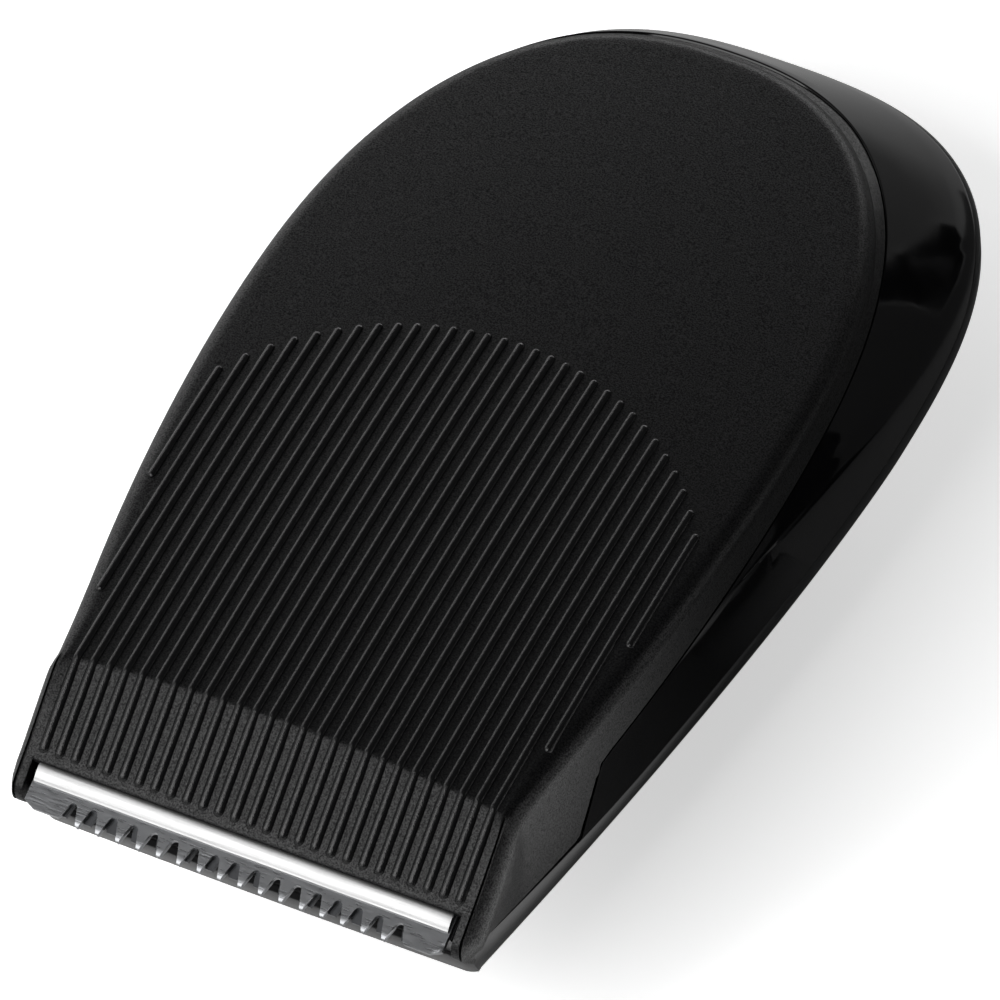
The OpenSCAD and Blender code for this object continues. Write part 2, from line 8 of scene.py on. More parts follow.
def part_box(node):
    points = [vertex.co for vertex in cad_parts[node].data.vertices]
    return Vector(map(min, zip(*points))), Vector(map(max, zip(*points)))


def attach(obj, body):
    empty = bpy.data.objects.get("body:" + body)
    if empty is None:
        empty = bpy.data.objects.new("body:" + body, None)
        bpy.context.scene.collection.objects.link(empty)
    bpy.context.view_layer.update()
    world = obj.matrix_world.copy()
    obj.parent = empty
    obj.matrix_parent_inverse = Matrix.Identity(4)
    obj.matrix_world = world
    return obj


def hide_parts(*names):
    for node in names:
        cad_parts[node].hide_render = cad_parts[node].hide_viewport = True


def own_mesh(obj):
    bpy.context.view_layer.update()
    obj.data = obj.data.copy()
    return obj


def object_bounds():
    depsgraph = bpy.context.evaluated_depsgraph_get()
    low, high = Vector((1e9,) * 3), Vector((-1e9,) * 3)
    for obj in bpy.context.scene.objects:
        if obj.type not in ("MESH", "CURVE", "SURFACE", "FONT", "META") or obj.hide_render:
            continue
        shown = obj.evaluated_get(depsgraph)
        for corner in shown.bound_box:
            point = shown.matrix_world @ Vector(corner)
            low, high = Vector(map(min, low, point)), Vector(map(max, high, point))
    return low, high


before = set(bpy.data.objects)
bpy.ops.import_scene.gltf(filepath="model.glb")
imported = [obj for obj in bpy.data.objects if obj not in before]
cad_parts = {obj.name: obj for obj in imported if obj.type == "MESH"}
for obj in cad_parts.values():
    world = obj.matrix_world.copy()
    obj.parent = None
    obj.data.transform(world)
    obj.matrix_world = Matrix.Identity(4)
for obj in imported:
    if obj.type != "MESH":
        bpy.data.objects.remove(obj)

cad_box = [list(corner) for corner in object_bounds()]

# ---- camera -----------------------------------------------------------------
# A long lens that looks down on the head from its front right corner.
lens = bpy.data.cameras.new("camera")
lens.lens = 500.5
lens.clip_end = 20
camera = bpy.data.objects.new("camera", lens)
bpy.context.scene.collection.objects.link(camera)
bpy.context.scene.camera = camera
back = Vector((0.3381, -0.5416, 0.7696)).normalized()
right = Vector((0.8870, 0.4566, -0.0684))
right = (right - back * right.dot(back)).normalized()
camera.matrix_world = Matrix((right, back.cross(right), back)).transposed().to_4x4()
camera.matrix_world.translation = Vector((0.3116, -0.5144, 0.7116))

# ---- top cover --------------------------------------------------------------
# The ribbed cover: black ABS, injection moulded in a spark-eroded mould, so
# its face is matt with a fine sparkle while its rounded edges come out
# smoother. It drops over the rim of the base and four screws hold it.

# Sizes are in millimetres, and a finished piece is scaled to metres. The nose
# with the blade is at the low end of y, and the spindle stands at the origin.
base_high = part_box("base_plate")[1] * 1000
base_half_w = base_high.x
rear_len = base_high.y
base_nose_inset = 5.87
base_squareness = 2.8
edge_half_w = base_half_w - 1.62
edge_rear_len = rear_len + 3.5
edge_nose_inset = 3.31
edge_squareness = 2.35
widest_y = -12
facet_y = -43.9
facet_slope = 0.655
facet_end = -50.35
nose_y = -52.3
crown_r = 350
crown_y = -10
top_h = 13.2
plate_t = 1.5
cover_t = 0.5
seam_front_y = -34
seam_front_h = 7.2
seam_rear_h = 10.2
seam_drop_y = -35.4
seam_drop_h = 6.9
rim_from_y = -32
rim_rise = 1.15
gap = 0.035
foot_gap = 0.42


def mix(a, b, t):
    return a + (b - a) * t


def ease(t):
    t = min(1, max(0, t))
    return t * t * (3 - 2 * t)


def crown(x, y):
    return top_h - crown_r + sqrt(crown_r ** 2 - x * x - (y - crown_y) ** 2)


def facet(y):
    return crown(0, facet_y) + facet_slope * (y - facet_y)


def top_z(x, y):
    """Height of the crowned top and its facet, with a slightly softened crease."""
    a, b, soft = crown(x, y), facet(y), 0.12
    h = max(soft - abs(a - b), 0) / soft
    return min(a, b) - h * h * soft / 4


def crease_y(x):
    """Where the facet begins, at a distance x from the middle."""
    y = facet_y
    for _ in range(4):
        y += (crown(x, y) - facet(y)) / facet_slope
    return y


def super_round(r, n, c):
    """One coordinate of a rounded outline of half-width r: n is 2 for an ellipse, more for squarer."""
    return r * max(c, 0) ** (2 / n)


def edge_outline(y=None, a=None):
    """A point of the edge of the top: ahead of the widest place by y, behind it by angle a."""
    if a is None:
        narrowed = edge_half_w - 0.0056 * (widest_y - y) ** 1.85
        return Vector((max(edge_half_w - edge_nose_inset, narrowed), y))
    return Vector((super_round(edge_half_w, edge_squareness, cos(a)),
                   widest_y + super_round(edge_rear_len, edge_squareness, sin(a))))


def base_outline(y=None, a=None):
    """The same for the outline of the base, which is widest at the spindle."""
    if a is None:
        narrowed = base_half_w - 0.0185 * abs(y) ** 1.48
        return Vector((max(base_half_w - base_nose_inset, narrowed), y))
    return Vector((super_round(base_half_w, base_squareness, cos(a)),
                   super_round(rear_len, base_squareness, sin(a))))


def seam_z(y):
    """Lower edge of the cover, which drops to the rim of the base near the nose."""
    if y > seam_front_y:
        return mix(seam_front_h, seam_rear_h, sin(pi / 2 * min(1, (y - seam_front_y) / 44)))
    if y > seam_drop_y:
        return mix(seam_drop_h, seam_front_h, ease((y - seam_drop_y) / 1.4))
    return max(rim_z(y), mix(seam_drop_h, plate_t, (seam_drop_y - y) / 3.0))


def rim_z(y):
    """Top of the rim of the base, which rises towards the blade."""
    return plate_t + rim_rise * max(0, (rim_from_y - y) / 17.7) ** 1.3


def shoulder_z(y):
    """Height of the shell's shoulder line, which falls towards the rear."""
    return min(seam_z(max(y, -30)) - 0.8, mix(7.35, 2, min(1, (y + 12) / 30)))


side_steps = 110
rear_steps = 96


def stations():
    """Pairs of a point on the edge of the top and one on the base, from the nose to the rear. They
    stand close together at the front edge and at the crease, which are sharp."""
    nose = [facet_end, facet_end + 0.035]
    nose += [facet_end + 0.12 + i * 0.61 for i in range(10)] + [facet_y - 0.2, facet_y - 0.1]
    pairs = [(edge_outline(y=y), base_outline(y=y)) for y in nose]
    for i in range(side_steps + 1):
        t = i / side_steps
        if i == 1:
            for s in (0.003, 0.006):
                pairs.append((edge_outline(y=mix(facet_y, widest_y, s)),
                              base_outline(y=mix(facet_y, 0, s))))
        pairs.append((edge_outline(y=mix(facet_y, widest_y, t)), base_outline(y=mix(facet_y, 0, t))))
    for i in range(1, rear_steps + 1):
        a = pi / 2 * i / rear_steps
        pairs.append((edge_outline(a=a), base_outline(a=a)))
    return pairs


column = stations()
rear_from = len(column) - 1 - rear_steps


def inward(i):
    """Direction from the edge towards the middle at station i: square to the edge, but
    straight across where the corner posts join on."""
    if i == len(column) - 1:
        return Vector((0, -1))
    t = column[min(i + 1, len(column) - 1)][0] - column[max(i - 1, 0)][0]
    square = Vector((-t.y, t.x)).normalized()
    return mix(Vector((-1, 0)), square, ease(i / 6)).normalized()


soft_r = 1.35
nose_r = 3.0
nose_turn = radians(40)
nose_out = 0.335
post_in = 15.72
nose_drop = nose_r * sin(nose_turn)
round_rows = 10


def nose_share(i):
    """How much of the nose's edge section station i has: all of it near the blade."""
    return 1 - ease((column[i][0].y + 46) / 6)


def nose_section(k, groove=1):
    """Step k of the edge on the nose, as (inward, down): a rounded shoulder, then a fine groove
    between it and the facet."""
    if k <= 5:
        a = nose_turn * k / 5
        return nose_r * (1 - cos(a)) - nose_out, nose_drop - nose_r * sin(a)
    across, down = ((0.39, 0.3), (0.55, 0.3), (0.57, 0.03), (0.6, 0.0), (0.66, 0.0))[k - 6]
    return across, down * groove


def edge_section(i, k):
    """Step k of the edge at station i, from the top of the wall to the flat top."""
    a = pi / 2 * k / round_rows
    share = nose_share(i)
    across, down = nose_section(k, ease((-43.6 - column[i][0].y) / 1.2))
    return (mix(soft_r * (1 - cos(a)), across, share), mix(soft_r * (1 - sin(a)), down, share))


def on_wall(i, z):
    """The point at height z of the side wall at station i."""
    edge, foot = column[i]
    out = foot - edge
    seam = edge + out.normalized() * min(1.2, out.length / 2)
    top = top_z(*edge) - edge_section(i, 0)[1]
    zs = min(seam_z(max(seam.y, seam_front_y)), top - 0.5)
    zh = min(shoulder_z(foot.y), zs - 0.6)
    shoulder = foot + (seam - foot) * mix(0.06, 0.9, min(1, max(0, (-30 - foot.y) / 8)))
    if z < zh:
        p = mix(foot, shoulder, z / zh)
    elif z < zs:
        p = mix(shoulder, seam, (z - zh) / (zs - zh))
    else:
        p = mix(seam, edge, min(1, (z - zs) / (top - zs)))
    return Vector((p.x, p.y, z))


def seam_at(i):
    """Height of the seam at station i, whose wall leans along the body a little."""
    z = 5
    for _ in range(12):
        z = mix(z, seam_z(on_wall(i, z).y), 0.5)
    return z


wall_rows = 7
top_rows = 26
cover_rows = 1 + wall_rows + round_rows + top_rows


def cover_point(i, j):
    edge, foot = column[i]
    to_middle = inward(i)
    if j <= wall_rows:
        z0 = seam_at(i) + (foot_gap if foot.y < -35.2 else gap)
        z1 = top_z(*edge) - edge_section(i, 0)[1]
        if j == 0:
            p = on_wall(i, z0)
            return p + Vector((to_middle.x * 0.12, to_middle.y * 0.12, 0))
        z = z0 + 0.1 if j == 1 else mix(z0 + 0.1, z1, (j - 1) / (wall_rows - 1))
        t = (z - z0) / (z1 - z0)
        rounded = mix(on_wall(i, z0), on_wall(i, z1) - to_middle.to_3d() * nose_out, 1 - (1 - t) ** 2)
        rounded.z = z
        p = mix(on_wall(i, z), rounded, nose_share(i))
    elif j <= wall_rows + round_rows:
        across, down = edge_section(i, j - wall_rows)
        p = edge + to_middle * across
        p = Vector((p.x, p.y, top_z(p.x, p.y) - down))
    else:
        start = edge + to_middle * edge_section(i, round_rows)[0]
        last_y = mix(widest_y, 6, sin(max(0, (i - rear_from) / rear_steps) * pi / 2))
        end = Vector((0, start.y if i <= rear_from else last_y))
        p = mix(start, end, (j - wall_rows - round_rows) / top_rows)
        p = Vector((p.x, p.y, 0))
    if i < 60:
        # The crease of the facet runs in a shallow curve, and the mesh follows it
        p.y += (crease_y(p.x) - facet_y) * max(0, 1 - abs(edge.y - facet_y) / 5.5)
    if j > wall_rows + round_rows:
        ahead, rolled = ((0.17, 0.2), (0.1, 0.045))[i] if i < 2 and p.x < post_in else (0, 0)
        p.y -= ahead
        p.z = top_z(p.x, p.y) - rolled
    return p


def shaped_grid(columns, rows, place):
    """A grid of columns by rows points, each put where place(i, j) says."""
    bm = bmesh.new()
    bmesh.ops.create_grid(bm, x_segments=columns - 1, y_segments=rows - 1, size=0.5)
    for v in bm.verts:
        i = round((v.co.x + 0.5) * (columns - 1))
        j = round((v.co.y + 0.5) * (rows - 1))
        v.co = place(i, j)
    return bm


def both_sides(bm):
    """Mirrors the right half of a shape and joins the two halves."""
    bmesh.ops.mirror(bm, geom=bm.verts[:] + bm.edges[:] + bm.faces[:], axis="X", merge_dist=0)
    bmesh.ops.remove_doubles(bm, verts=bm.verts, dist=0.004)


def piece(name, bm, material, body, stands_for=(), crisp=35):
    """Makes an object of a mesh drawn in millimetres, facing outwards, and ties it to its body."""
    bmesh.ops.recalc_face_normals(bm, faces=bm.faces)
    bmesh.ops.scale(bm, vec=(0.001, 0.001, 0.001), verts=bm.verts)
    mesh = bpy.data.meshes.new(name)
    bm.to_mesh(mesh)
    bm.free()
    mesh.polygons.foreach_set("use_smooth", [True] * len(mesh.polygons))
    mesh.set_sharp_from_angle(angle=radians(crisp))
    mesh.materials.append(material)
    obj = bpy.data.objects.new(name, mesh)
    bpy.context.scene.collection.objects.link(obj)
    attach(obj, body)
    if stands_for:
        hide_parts(*stands_for)
    return obj


def wall_thickness(obj, thickness):
    """Gives a sheet its thickness, in millimetres, on the inside."""
    solid = obj.modifiers.new("wall", "SOLIDIFY")
    solid.thickness = thickness / 1000
    solid.offset = -1
    solid.use_even_offset = True


def linear(hex_colour):
    """An sRGB hex colour as linear red, green, blue and alpha."""
    parts = [int(hex_colour[k:k + 2], 16) / 255 for k in (1, 3, 5)]
    return [c / 12.92 if c <= 0.04045 else ((c + 0.055) / 1.055) ** 2.4 for c in parts] + [1]


def add(tree, kind, settings=(), inputs=(), links=()):
    """Adds a node, with its settings, socket values, and links from other nodes' sockets."""
    node = tree.nodes.new("ShaderNode" + kind)
    for key, value in dict(settings).items():
        setattr(node, key, value)
    for key, value in dict(inputs).items():
        node.inputs[key].default_value = value
    for key, (other, socket) in dict(links).items():
        tree.links.new(other.outputs[socket], node.inputs[key])
    return node


def new_material(name, **values):
    """A material with the values set on its shader, and its node tree."""
    material = bpy.data.materials.new(name)
    material.use_nodes = True
    shader = material.node_tree.nodes["Principled BSDF"]
    for key, value in values.items():
        shader.inputs[key.replace("_", " ")].default_value = value
    return material, material.node_tree, shader


# Matt moulded ABS: near black, with a grain that breaks the light into a fine
# sparkle, and a slightly uneven sheen over areas of 1 to 2 mm. The real grain
# is nearer 0.05 mm, and is drawn at about 0.1 mm so that it shows.
matt_abs, tree, shader = new_material(
    "matt moulded ABS", Base_Color=linear("#080809"), Roughness=0.4, IOR=1.5,
    Specular_IOR_Level=0.26)
place_node = add(tree, "TexCoord")
grain = add(tree, "TexNoise", inputs={"Scale": 9000, "Detail": 2, "Roughness": 0.6},
            links={"Vector": (place_node, "Object")})
clouds = add(tree, "TexNoise", inputs={"Scale": 700, "Detail": 1},
             links={"Vector": (place_node, "Object")})
sheen = add(tree, "MapRange", inputs={"From Min": 0.3, "From Max": 0.7, "To Min": 0.39, "To Max": 0.41},
            links={"Value": (clouds, "Fac")})
tree.links.new(sheen.outputs["Result"], shader.inputs["Roughness"])
bump = add(tree, "Bump", inputs={"Strength": 0.6, "Distance": 0.000035},
           links={"Height": (grain, "Fac")})
tree.links.new(bump.outputs["Normal"], shader.inputs["Normal"])
sparkle = add(tree, "MapRange", inputs={"From Min": 0.36, "From Max": 0.64, "To Min": 0.07, "To Max": 0.37},
              links={"Value": (grain, "Fac")})
tree.links.new(sparkle.outputs["Result"], shader.inputs["Specular IOR Level"])

bm = shaped_grid(len(column), cover_rows, cover_point)
both_sides(bm)
cover = piece("cover", bm, matt_abs, "head", ["top_cover"])
wall_thickness(cover, cover_t)

# ---- corner posts -----------------------------------------------------------
# The two ends of the cover that come forward beside the blade and protect
# its corners. They are one moulding with the cover and carry its edge down.
lip_top = Vector((-50.75, 2.85))


def bend(a, corner, b, t):
    """A point of the curve from a to b that turns round a corner."""
    return mix(mix(a, corner, t), mix(corner, b, t), t)


brow = [Vector((y, facet(y))) for y in (facet_end, -50.9, -51.4, -51.75)]
brow += [bend(brow[3], Vector((nose_y, facet(nose_y))), Vector((nose_y, 5.45)), t / 6)
         for t in range(1, 7)]
chin = Vector((nose_y, 5.3)), Vector((nose_y, 4.75)), Vector((-51.95, 4.32))
brow += [bend(*chin, t / 5) for t in range(6)]
brow += [mix(chin[2], lip_top, t / 6) for t in range(1, 7)]


def post_side(z):
    """Where the side of the nose stands at height z on the cover's front edge."""
    low, high = seam_at(0) + foot_gap, facet(facet_end) - nose_drop
    t = (z - low) / (high - low)
    return mix(on_wall(0, low).x, on_wall(0, high).x + nose_out, 1 - (1 - t) ** 2)


def post_point(i, j):
    """Step i down the front of the post, and step j across it and round on to its side."""
    at = brow[i]
    run = brow[min(i + 1, len(brow) - 1)] - brow[max(i - 1, 0)]
    share = i / (len(brow) - 1)
    line_x = edge_outline(y=facet_end).x - nose_section(5)[0]
    if j > 8:
        across, down = nose_section(14 - j)
        end = Vector((facet_end, mix(facet(facet_end) - nose_drop, seam_at(0) + foot_gap, share)))
        p = mix(at, end, down / nose_drop)
        turned = (across + nose_out) / (nose_section(5)[0] + nose_out)
        return Vector((mix(post_side(end.y), line_x, turned), p.x, p.y))
    if j < 4:
        x, down = ((post_in, 1.0), (post_in, 0.08), (post_in + 0.03, 0.02), (post_in + 0.1, 0))[j]
    else:
        across, down = nose_section(14 - j)
        x = line_x + nose_section(5)[0] - across
    inside = mix(Vector((0, -1)), Vector((-run.y, run.x)).normalized(), ease(share * 4)).normalized()
    p = at + inside * down
    return Vector((x, p.x, p.y))


bm = shaped_grid(len(brow), 15, post_point)
bmesh.ops.mirror(bm, geom=bm.verts[:] + bm.edges[:] + bm.faces[:], axis="X", merge_dist=0)
piece("corner_posts", bm, matt_abs, "head", ["top_cover"])

# ---- grip ribs --------------------------------------------------------------
# Raised lines that run back from the blade and end on an arc. The mould was
# cut smooth there, so each rib has a polished back between two dark flanks.
rib_pitch = 1.175
rib_count = 31
rib_half_w = 0.31
rib_h = 0.21
rib_facet_h = 0.3
rib_facet_half_w = 0.36
rib_root = 0.06
arc_y = -31.6
arc_r = 21.2
short_ribs = {15: -29.86, 14: -39.3}


def rib_span(k):
    """Front and rear end of rib k, counted from the middle. The outer two start behind the others."""
    rear = arc_y + sqrt(arc_r ** 2 - (k * rib_pitch) ** 2)
    front = short_ribs.get(abs(k), facet_end + 0.3)
    return front, rear


def rib(k):
    """Rib k: a half-round line with round ends, which grows taller and wider on the facet."""
    front, rear = rib_span(k)
    x0 = k * rib_pitch
    fold = crease_y(x0)
    ahead = max(0, fold - front)
    stops = [0, 0.04, 0.12, 0.2, rib_half_w]
    if ahead:
        stops += [mix(rib_half_w, ahead - 0.3, t / 6) for t in range(1, 7)]
        stops += [ahead - 0.15, ahead, ahead + 0.15]
    length = rear - front
    start = stops[-1]
    stops += [mix(start, length - rib_half_w, t / 14) for t in range(1, 15)]
    stops += [length - 0.2, length - 0.12, length - 0.04, length]

    def place(i, j):
        along = stops[i]
        from_end = min(along, length - along, rib_half_w)
        size = sqrt(max(0, 1 - (1 - from_end / rib_half_w) ** 2))
        a = pi * j / 8
        y = front + along
        x = x0 - cos(a) * mix(rib_half_w, rib_facet_half_w, ease((fold - y) / 1.5)) * size
        height = mix(rib_h, rib_facet_h, ease((fold - y) / 1.5)) + rib_root
        return Vector((x, y, top_z(x, y) - rib_root + sin(a) * height * size))

    return shaped_grid(len(stops), 9, place)


# Smooth ABS of the ribs: the same black plastic without the coarse grain, so
# that each back draws one thin line of light, a little broken by a fine ripple.
rib_abs, tree, shader = new_material(
    "smooth moulded ABS", Base_Color=linear("#0b0b0c"), Roughness=0.25, IOR=1.5,
    Specular_IOR_Level=0.35)
place_node = add(tree, "TexCoord")
ripple = add(tree, "TexNoise", inputs={"Scale": 12000, "Detail": 1},
             links={"Vector": (place_node, "Object")})
bump = add(tree, "Bump", inputs={"Strength": 0.6, "Distance": 0.00004},
           links={"Height": (ripple, "Fac")})
tree.links.new(bump.outputs["Normal"], shader.inputs["Normal"])

all_ribs = bmesh.new()
for k in range(-(rib_count // 2), rib_count // 2 + 1):
    one = rib(k)
    holder = bpy.data.meshes.new("rib")
    one.to_mesh(holder)
    one.free()
    all_ribs.from_mesh(holder)
    bpy.data.meshes.remove(holder)
piece("grip_ribs", all_ribs, rib_abs, "head", ["top_cover"], crisp=60)

# ---- side shell -------------------------------------------------------------
# The band round the body between the cover and the base: black ABS from a
# mirror-polished mould. It slides over the base from behind.
shell_t = 0.6
shell_rows = 16
shell_from = next(i for i in range(len(column)) if column[i][1].y > -38.4)

# Mirror-polished ABS: deep black with sharp reflections, which waver a little
# over some 3 mm, where the plastic flowed, and are duller where it was touched.
gloss_abs, tree, shader = new_material(
    "mirror-polished ABS", Base_Color=linear("#0a0a0b"), Roughness=0.06, IOR=1.5,
    Specular_IOR_Level=0.3)
place_node = add(tree, "TexCoord")
flow = add(tree, "TexNoise", inputs={"Scale": 350, "Detail": 1},
           links={"Vector": (place_node, "Object")})
smudge = add(tree, "MapRange", inputs={"From Min": 0.35, "From Max": 0.75, "To Min": 0.05, "To Max": 0.1},
             links={"Value": (flow, "Fac")})
tree.links.new(smudge.outputs["Result"], shader.inputs["Roughness"])
bump = add(tree, "Bump", inputs={"Strength": 0.05, "Distance": 0.0001},
           links={"Height": (flow, "Fac")})
tree.links.new(bump.outputs["Normal"], shader.inputs["Normal"])


def shell_point(i, j):
    """Step j up the wall of the shell, with a soft bend at the shoulder and both rims turned in."""
    i += shell_from
    foot = column[i][1]
    z0 = rim_z(foot.y) + gap / 2
    z1 = max(seam_at(i) - gap, z0 + 0.02)
    shoulder = max(min(shoulder_z(foot.y), z1), z0)
    soft = min(0.35, (shoulder - z0) / 2, (z1 - shoulder) / 2)
    marks = [z0, z0 + min(0.08, soft / 2)]
    marks += [mix(marks[1], shoulder - soft, t / 3) for t in (1, 2, 3)]
    marks += [shoulder - soft / 2, shoulder, shoulder + soft / 2]
    marks += [mix(shoulder + soft, z1 - min(0.08, soft / 2), t / 5) for t in range(6)]
    marks += [z1 - min(0.02, soft / 8), z1]
    z = marks[j]
    p = on_wall(i, z)
    if soft and abs(z - shoulder) < soft:
        lower, upper = on_wall(i, shoulder - soft), on_wall(i, shoulder + soft)
        chord = mix(lower, upper, (z - shoulder + soft) / (2 * soft))
        p = mix(p, chord, 0.5)
    if j in (0, shell_rows - 1):
        d = inward(i) * 0.1
        p += Vector((d.x, d.y, 0))
    return p


bm = shaped_grid(len(column) - shell_from, shell_rows, shell_point)
both_sides(bm)
shell = piece("gloss_shell", bm, gloss_abs, "head", ["side_shell"], crisp=30)
wall_thickness(shell, shell_t)

# ---- base plate -------------------------------------------------------------
# The floor of the head with its raised rim and the lip under the blade: one
# satin ABS moulding with pockets for the heads of the four cover screws.

# Satin ABS: near black with a soft, broad shine, and a fine even grain of
# about 0.15 mm, drawn coarser than the real one so that it shows.
satin_abs, tree, shader = new_material(
    "satin moulded ABS", Base_Color=linear("#161617"), Roughness=0.36, IOR=1.5,
    Specular_IOR_Level=0.45)
place_node = add(tree, "TexCoord")
grain = add(tree, "TexNoise", inputs={"Scale": 7000, "Detail": 2},
            links={"Vector": (place_node, "Object")})
bump = add(tree, "Bump", inputs={"Strength": 0.35, "Distance": 0.00003},
           links={"Height": (grain, "Fac")})
tree.links.new(bump.outputs["Normal"], shader.inputs["Normal"])

lip_y = -49.7
lip_lean = 1.03 / 2.75
corner_r = 1.5
corner_turn = radians(38)
nose_half_w = base_half_w - base_nose_inset
screw_places = (12.8, -37), (15.9, -8)
screw_head_r = 2
screw_head_depth = 0.8


def base_loop():
    """The outline of the base on its right side, from the middle of the front to the rear tip."""
    start = nose_half_w - corner_r * sin(corner_turn)
    loop = [Vector((x, lip_y - 0.1 * (1 - (x / nose_half_w) ** 2)))
            for x in [mix(0, start, t / 24) for t in range(25)]]
    for t in range(1, 8):
        a = corner_turn * t / 7
        loop.append(Vector((start + corner_r * sin(a), loop[24].y + corner_r * (1 - cos(a)))))
    loop += [p for _, p in column if p.y > loop[-1].y + 0.3]
    return loop


half_loop = base_loop()
loop = half_loop + [Vector((-p.x, p.y)) for p in reversed(half_loop[1:-1])]


def loop_inward(k):
    """Direction from point k of the outline towards the middle, square to the outline."""
    t = loop[(k + 1) % len(loop)] - loop[k - 1]
    return Vector((-t.y, t.x)).normalized()


def rim_point(k, height, inset):
    """Point k of the rim: the lip leans forward, and all else stands upright."""
    p = loop[k] + loop_inward(k) * inset
    lean = height * lip_lean * ease((lip_y + 1.1 - loop[k].y) / 0.6)
    return Vector((p.x, p.y - lean, height))


bm = bmesh.new()
bmesh.ops.create_circle(bm, cap_ends=False, segments=len(loop), radius=1)
order = bm.verts.layers.int.new("order")
bm.verts.ensure_lookup_table()
for k, v in enumerate(bm.verts):
    v[order] = k
    v.co = rim_point(k, 0, 0.25)
outer_edges = bm.edges[:]


def next_ring(edges, where):
    """Extrudes a ring of edges and puts each new point where where(order) says."""
    out = bmesh.ops.extrude_edge_only(bm, edges=edges)["geom"]
    for v in [g for g in out if isinstance(g, bmesh.types.BMVert)]:
        v.co = where(v[order])
    return [g for g in out if isinstance(g, bmesh.types.BMEdge)]


def rim_top(k):
    return rim_z(max(loop[k].y, lip_y))


ring = outer_edges
for height, inset in ((0.08, 0.08), (0.25, 0)):
    ring = next_ring(ring, lambda k: rim_point(k, height, inset))
for part in (0.5, 1):
    ring = next_ring(ring, lambda k: rim_point(k, mix(0.25, rim_top(k) - 0.25, part), 0))
for drop, inset in ((0.07, 0.06), (0, 0.22), (0, 1.15)):
    ring = next_ring(ring, lambda k: rim_point(k, rim_top(k) - drop, inset))
ring = next_ring(ring, lambda k: rim_point(k, plate_t * 0.9, 1.2))
bmesh.ops.triangle_fill(bm, edges=ring, use_beauty=True, use_dissolve=False)

# Pockets in the underside for the heads of the cover screws
hole_rings = []
for x, y in screw_places:
    for side in (1, -1):
        hole = bmesh.ops.create_circle(bm, cap_ends=False, segments=40, radius=screw_head_r)["verts"]
        bmesh.ops.translate(bm, vec=(side * x, y, 0), verts=hole)
        hole_rings += dict.fromkeys(e for v in hole for e in v.link_edges)
bmesh.ops.triangle_fill(bm, edges=outer_edges + hole_rings, use_beauty=True, use_dissolve=False)
sunk = bmesh.ops.extrude_edge_only(bm, edges=hole_rings)["geom"]
bmesh.ops.translate(bm, vec=(0, 0, screw_head_depth),
                    verts=[g for g in sunk if isinstance(g, bmesh.types.BMVert)])
bmesh.ops.edgenet_fill(bm, edges=[g for g in sunk if isinstance(g, bmesh.types.BMEdge)])
piece("base", bm, satin_abs, "head", ["base_plate"], crisp=28)

# ---- blade guard ------------------------------------------------------------
# The fixed comb: stainless strip, pierced between the teeth, its face ground
# and its tooth tips rounded and polished so that they glide over the skin.
tip = Vector((0, -53.1, 5.6))
tilt = radians(22)
tooth_pitch = 1.5
gap_count = 17
gap_depth = 1.45
gap_apex_r = 0.31
gap_mouth = 0.65
guard_front = -0.15
guard_t = 0.4
guard_half_w = 15.32
land_set_back = 0.2
guard_len = 4.6
tip_r = 0.09
tip_dip = 0.12
tip_dip_len = 0.28
flank_chamfer = 0.05


def on_blade(x, u, w):
    """A point of the blade: x across, u back along it, w above its face."""
    return Vector((x, tip.y + u * cos(tilt) - w * sin(tilt), tip.z + u * sin(tilt) + w * cos(tilt)))


def gap_half(u):
    """Half the width of a gap at u, with its round end and the round tips of the teeth beside it."""
    apex = guard_front + gap_depth
    middle = apex - gap_apex_r
    if u >= apex:
        return 0
    if u > middle:
        return sqrt(max(0, gap_apex_r ** 2 - (u - middle) ** 2))
    widest = mix(gap_mouth, gap_apex_r, (u - guard_front) / (middle - guard_front))
    close = max(0, tip_r - (u - guard_front)) / tip_r
    return widest + tip_r * (1 - sqrt(1 - close * close))


# The punch leaves a small rounded edge on one flank of each tooth
sides = [-1, -0.8, -0.6, -0.3, 0, 0.3, 0.6, 0.8, 0.93, 1]
apex_u = guard_front + gap_depth
rows = [guard_front + d for d in (0, 0.01, 0.04, 0.08, 0.14, 0.3, 0.6, 0.85, 1.05)]
rows += [apex_u - gap_apex_r + gap_apex_r * sin(pi / 2 * t / 6) for t in range(7)]
rows += [apex_u + 0.25, guard_len]


def tooth(centre, left, right):
    """One tooth, between the middles of two gaps or the end of the strip."""
    def place(i, j):
        u = rows[j]
        side = sides[i]
        reach = left if side < 0 else right
        half = reach(u) if reach else tooth_pitch / 2 - gap_half(u)
        drop = tip_dip * max(0, 1 - (u - guard_front) / tip_dip_len) ** 2
        if left or right:
            u += land_set_back * (1 - ease((u - guard_front) / 0.6))
            drop = 0
        if i == len(sides) - 1 and 0.15 < rows[j] - guard_front < gap_depth - gap_apex_r:
            drop += flank_chamfer
        return on_blade(centre + side * half, u, -drop)
    return shaped_grid(len(sides), len(rows), place)


def end_land(u):
    """Half-width of the end land on its outer side, with its corner cut off."""
    wide = guard_half_w - gap_count / 2 * tooth_pitch
    corner = max(0, 0.6 - u - land_set_back)
    return wide - 1.35 * corner


bm = bmesh.new()
for k in range(gap_count + 1):
    centre = (k - gap_count / 2) * tooth_pitch
    one = tooth(centre, end_land if k == 0 else None, end_land if k == gap_count else None)
    holder = bpy.data.meshes.new("tooth")
    one.to_mesh(holder)
    one.free()
    bm.from_mesh(holder)
    bpy.data.meshes.remove(holder)
bmesh.ops.remove_doubles(bm, verts=bm.verts, dist=0.004)

